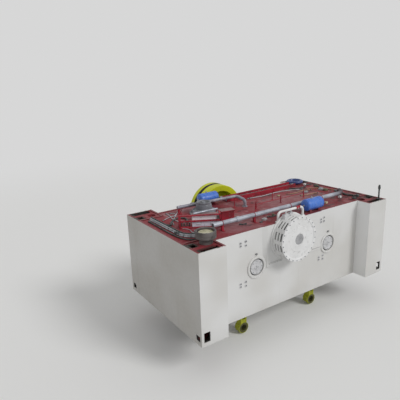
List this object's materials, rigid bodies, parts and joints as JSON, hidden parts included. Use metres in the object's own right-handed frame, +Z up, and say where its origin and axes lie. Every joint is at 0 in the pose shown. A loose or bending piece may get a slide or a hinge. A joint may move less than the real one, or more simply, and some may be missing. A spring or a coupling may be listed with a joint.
{
  "type": "press crown",
  "caption": "Crown of a large mechanical press: box frame on corner columns, with flywheel, vented brake drum, gear train, eccentric shafts and connecting rods.",
  "frame": {"origin": "centre of the crown's underside, where it sits on the press columns", "axes": "+Z up, +X along the long front towards the right, +Y from the front to the flywheel side"},
  "size_m": [6.92, 4.125, 3.7237],
  "materials": {
    "white_paint": "white machine enamel, lightly soiled",
    "red_oxide": "red oxide primer, faded",
    "blue_paint": "gloss blue",
    "lime_paint": "lime yellow safety paint",
    "machined_steel": "machined",
    "grey_paint": "grey primer",
    "grey_pipe": "pale grey, satin",
    "dark_hose": "matt black",
    "beige_cover": "matt, dusty"
  },
  "bodies": {
    "crown": {"front_wall": "white_paint", "rear_wall": "white_paint", "left_end_wall": "white_paint", "right_end_wall": "white_paint", "floor_plate": "white_paint", "deck_plate": "red_oxide", "front_left_column": "white_paint", "front_right_column": "white_paint", "rear_left_column": "white_paint", "rear_right_column": "white_paint", "front_left_tie_tube": "red_oxide", "front_right_tie_tube": "red_oxide", "rear_left_tie_tube": "red_oxide", "rear_right_tie_tube": "red_oxide", "front_bearing_web": "grey_paint", "rear_bearing_web": "grey_paint", "front_left_wall_bearing": "white_paint", "front_right_wall_bearing": "white_paint", "rear_left_wall_bearing": "white_paint", "rear_right_wall_bearing": "white_paint", "idler_pin": "machined_steel", "drum_housing": "white_paint", "drum_cover": "white_paint", "hub_cap": "grey_paint", "tie_rod_nut": "grey_paint", "nut_cover": "beige_cover", "front_air_tank": "blue_paint", "rear_air_tank": "blue_paint", "round_vessel": "blue_paint", "cylinder_head": "grey_paint", "rear_channel": "red_oxide", "front_pipe": "grey_pipe", "rear_pipe": "grey_pipe", "valve_cabinet": "white_paint", "cabinet_frame": "red_oxide", "junction_box": "red_oxide", "deck_rail": "red_oxide", "corner_post": "dark_hose", "hose_run": "dark_hose", "pipe_loop": "white_paint", "loop_coupling": "red_oxide"},
    "left_main": {"left_eccentric_shaft": "machined_steel", "left_main_gear": "machined_steel", "left_front_end_plate": "grey_paint", "left_rear_end_plate": "grey_paint"},
    "right_main": {"right_eccentric_shaft": "machined_steel", "right_main_gear": "machined_steel", "right_front_end_plate": "grey_paint", "right_rear_end_plate": "grey_paint"},
    "left_idler": {"idler_shaft": "machined_steel", "reduction_gear": "machined_steel"},
    "right_idler": {"idler_gear": "machined_steel"},
    "drive": {"drive_shaft": "machined_steel", "brake_disc": "machined_steel", "flywheel": "lime_paint"},
    "front_left_rod": {"front_left_connecting_rod": "lime_paint"},
    "rear_left_rod": {"rear_left_connecting_rod": "lime_paint"},
    "front_right_rod": {"front_right_connecting_rod": "lime_paint"},
    "rear_right_rod": {"rear_right_connecting_rod": "lime_paint"}
  },
  "joints": [
    {"name": "left_main_spin", "type": "hinge", "parent": "crown", "child": "left_main", "pos_m": [-1.38, 0, 1.34], "axis": [0, 1, 0], "continuous": true},
    {"name": "right_main_spin", "type": "hinge", "parent": "crown", "child": "right_main", "pos_m": [1.38, 0, 1.34], "axis": [0, 1, 0], "continuous": true},
    {"name": "left_idler_spin", "type": "hinge", "parent": "crown", "child": "left_idler", "pos_m": [-0.28, 0, 1.34], "axis": [0, 1, 0], "continuous": true},
    {"name": "right_idler_spin", "type": "hinge", "parent": "crown", "child": "right_idler", "pos_m": [0.28, 0, 1.34], "axis": [0, 1, 0], "continuous": true},
    {"name": "drive_spin", "type": "hinge", "parent": "crown", "child": "drive", "pos_m": [-0.28, 0, 1.98], "axis": [0, 1, 0], "continuous": true},
    {"name": "front_left_rod_pivot", "type": "hinge", "parent": "left_main", "child": "front_left_rod", "pos_m": [-1.38, -0.8, 1.14], "axis": [0, 1, 0], "continuous": true},
    {"name": "rear_left_rod_pivot", "type": "hinge", "parent": "left_main", "child": "rear_left_rod", "pos_m": [-1.38, 0.8, 1.14], "axis": [0, 1, 0], "continuous": true},
    {"name": "front_right_rod_pivot", "type": "hinge", "parent": "right_main", "child": "front_right_rod", "pos_m": [1.38, -0.8, 1.14], "axis": [0, 1, 0], "continuous": true},
    {"name": "rear_right_rod_pivot", "type": "hinge", "parent": "right_main", "child": "rear_right_rod", "pos_m": [1.38, 0.8, 1.14], "axis": [0, 1, 0], "continuous": true}
  ],
  "couplings": [
    {"joint": "right_main_spin", "follows": "left_main_spin", "ratio": -1},
    {"joint": "left_idler_spin", "follows": "left_main_spin", "ratio": -2.9286},
    {"joint": "right_idler_spin", "follows": "left_main_spin", "ratio": 2.9286},
    {"joint": "drive_spin", "follows": "left_main_spin", "ratio": 5.5909},
    {"joint": "front_left_rod_pivot", "follows": "left_main_spin", "ratio": -1},
    {"joint": "rear_left_rod_pivot", "follows": "left_main_spin", "ratio": -1},
    {"joint": "front_right_rod_pivot", "follows": "left_main_spin", "ratio": 1},
    {"joint": "rear_right_rod_pivot", "follows": "left_main_spin", "ratio": 1}
  ]
}
